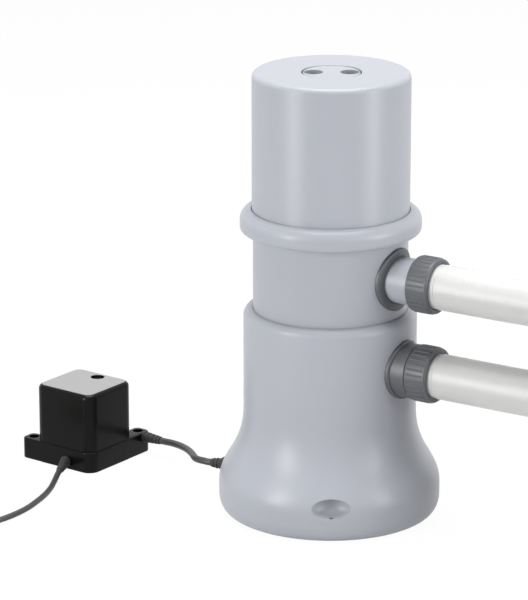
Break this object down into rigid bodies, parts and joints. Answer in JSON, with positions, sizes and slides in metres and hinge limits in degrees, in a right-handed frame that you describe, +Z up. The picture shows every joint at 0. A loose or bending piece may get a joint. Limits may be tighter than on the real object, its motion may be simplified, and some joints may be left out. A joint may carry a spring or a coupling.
{
  "type": "cartridge filter pump",
  "caption": "Round upright cartridge filter pump with a screw-down cover, air valve, side ports with hoses, and a separate low-voltage transformer with its leads.",
  "frame": {"origin": "centre of the pump's round base, on the floor", "axes": "+Z up along the pump's axis; the hose ports leave level between +X and -Y, at -33 degrees about Z; the transformer stands towards -X and +Y"},
  "size_m": [1.0245, 0.4556, 0.38],
  "materials": {
    "shell_grey": "smooth moulded, slight sheen",
    "fitting_grey": "smooth moulded",
    "hose_white": "translucent, satin",
    "black_plastic": "smooth moulded",
    "black_cord": "satin",
    "black_rubber": "matte",
    "steel": "satin",
    "copper_wire": "enamelled copper wire, satin",
    "brass": "satin",
    "filter_paper": "matte non-woven",
    "cartridge_blue": "soft moulded",
    "core_white": "smooth moulded"
  },
  "bodies": {
    "pump": {"lower_housing": "shell_grey", "base_plate": "shell_grey", "filter_housing": "shell_grey", "outlet_pipe": "shell_grey", "pump_chamber": "shell_grey", "chamber_cover": "shell_grey", "motor_can": "shell_grey", "upper_port_flange": "fitting_grey", "lower_port_flange": "fitting_grey", "rotor_well": "fitting_grey", "upper_hose": "hose_white", "lower_hose": "hose_white", "upper_hose_cuff": "hose_white", "lower_hose_cuff": "hose_white", "upper_far_cuff": "hose_white", "lower_far_cuff": "hose_white", "transformer_base": "black_plastic", "transformer_case": "black_plastic", "plug_body": "black_plastic", "low_voltage_cord": "black_cord", "mains_cord": "black_cord", "mains_cord_coil": "black_cord", "plug_lead": "black_cord", "cover_seal": "black_rubber", "upper_port_gasket": "black_rubber", "lower_port_gasket": "black_rubber", "motor_lead_gland": "black_rubber", "outlet_relief": "black_rubber", "mains_relief": "black_rubber", "base_screw_1": "steel", "base_screw_2": "steel", "base_screw_3": "steel", "stator_core": "steel", "transformer_core": "steel", "transformer_screw_1": "steel", "transformer_screw_2": "steel", "stator_coil_1": "copper_wire", "stator_coil_2": "copper_wire", "stator_coil_3": "copper_wire", "stator_coil_4": "copper_wire", "transformer_winding": "copper_wire", "shaft_bush_lower": "brass", "shaft_bush_upper": "brass", "plug_blade_1": "brass", "plug_blade_2": "brass", "cartridge_pleats": "filter_paper", "cartridge_bottom_cap": "cartridge_blue", "cartridge_top_cap": "cartridge_blue", "cartridge_core": "core_white"},
    "cover": {"filter_cover": "shell_grey", "air_valve_seal": "black_rubber"},
    "lock_ring": {"lock_ring": "shell_grey"},
    "air_valve": {"air_valve": "shell_grey"},
    "rotor": {"rotor_shaft": "steel", "rotor_magnet": "black_plastic", "impeller": "fitting_grey"},
    "upper_nut": {"upper_hose_nut": "fitting_grey"},
    "lower_nut": {"lower_hose_nut": "fitting_grey"},
    "upper_far_nut": {"upper_far_nut": "fitting_grey"},
    "lower_far_nut": {"lower_far_nut": "fitting_grey"}
  },
  "joints": [
    {"name": "cover_lift", "type": "slide", "parent": "pump", "child": "cover", "axis": [0, 0, 1], "range_m": [0, 0.15]},
    {"name": "lock_ring_turn", "type": "hinge", "parent": "cover", "child": "lock_ring", "pos_m": [0, 0, 0.2546], "axis": [0, 0, 1], "range_deg": [0, 450]},
    {"name": "air_valve_turn", "type": "hinge", "parent": "cover", "child": "air_valve", "pos_m": [0, 0, 0.376], "axis": [0, 0, 1], "range_deg": [0, 270]},
    {"name": "impeller_spin", "type": "hinge", "parent": "pump", "child": "rotor", "pos_m": [0, 0, 0.114], "axis": [0, 0, 1], "continuous": true},
    {"name": "upper_nut_turn", "type": "hinge", "parent": "pump", "child": "upper_nut", "pos_m": [0.08034, -0.05218, 0.212], "axis": [0.8387, -0.5446, 0], "range_deg": [0, 540]},
    {"name": "lower_nut_turn", "type": "hinge", "parent": "pump", "child": "lower_nut", "pos_m": [0.08034, -0.05218, 0.135], "axis": [0.8387, -0.5446, 0], "range_deg": [0, 540]},
    {"name": "upper_far_nut_turn", "type": "hinge", "parent": "pump", "child": "upper_far_nut", "pos_m": [0.23959, -0.14135, 0.07156], "axis": [-0.4484, 0.8926, -0.0463], "range_deg": [0, 540]},
    {"name": "lower_far_nut_turn", "type": "hinge", "parent": "pump", "child": "lower_far_nut", "pos_m": [0.24866, -0.15342, 0.02382], "axis": [-0.4911, 0.8709, -0.0157], "range_deg": [0, 540]}
  ]
}
